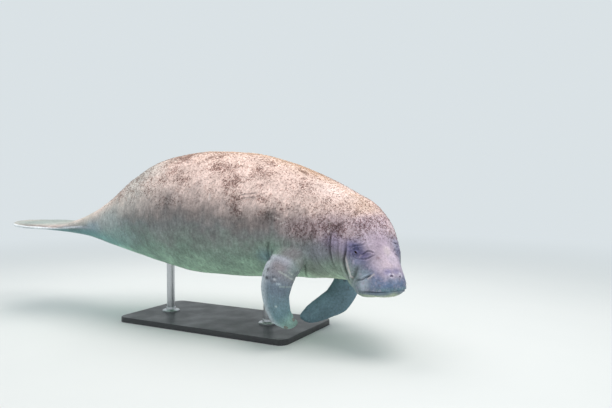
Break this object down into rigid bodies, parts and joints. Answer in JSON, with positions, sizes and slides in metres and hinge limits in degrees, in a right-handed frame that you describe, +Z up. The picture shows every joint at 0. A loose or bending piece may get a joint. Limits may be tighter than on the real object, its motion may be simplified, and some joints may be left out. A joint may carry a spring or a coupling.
{
  "type": "manatee figure",
  "caption": "Life-size still model of a manatee turning as it swims, with hanging flippers and a flat round tail, held over a flat base by upright rods.",
  "frame": {"origin": "middle of the underside of the stand's base, on the floor", "axes": "+X from tail to head along the middle of the body, +Y to the animal's left, +Z up"},
  "size_m": [2.7445, 0.8363, 1.003],
  "materials": {
    "back": "mottled pinkish tan skin under short algae, rough and dry",
    "face": "lilac grey wrinkled skin, slightly smoother on the muzzle",
    "limb": "blue grey wrinkled skin",
    "tail": "tan grey skin with a pale rim",
    "eye": "wet and glossy, almost black",
    "stand": "satin dark grey paint",
    "rod": "brushed"
  },
  "bodies": {
    "root": {"head": "face", "neck": "back", "chest": "back", "torso": "back", "tail_stock": "back", "tail_paddle": "tail", "flipper_right": "limb", "flipper_left": "limb", "eye_right": "eye", "eye_left": "eye", "stand_base": "stand", "stand_rod_front": "rod", "stand_rod_rear": "rod"}
  },
  "joints": []
}
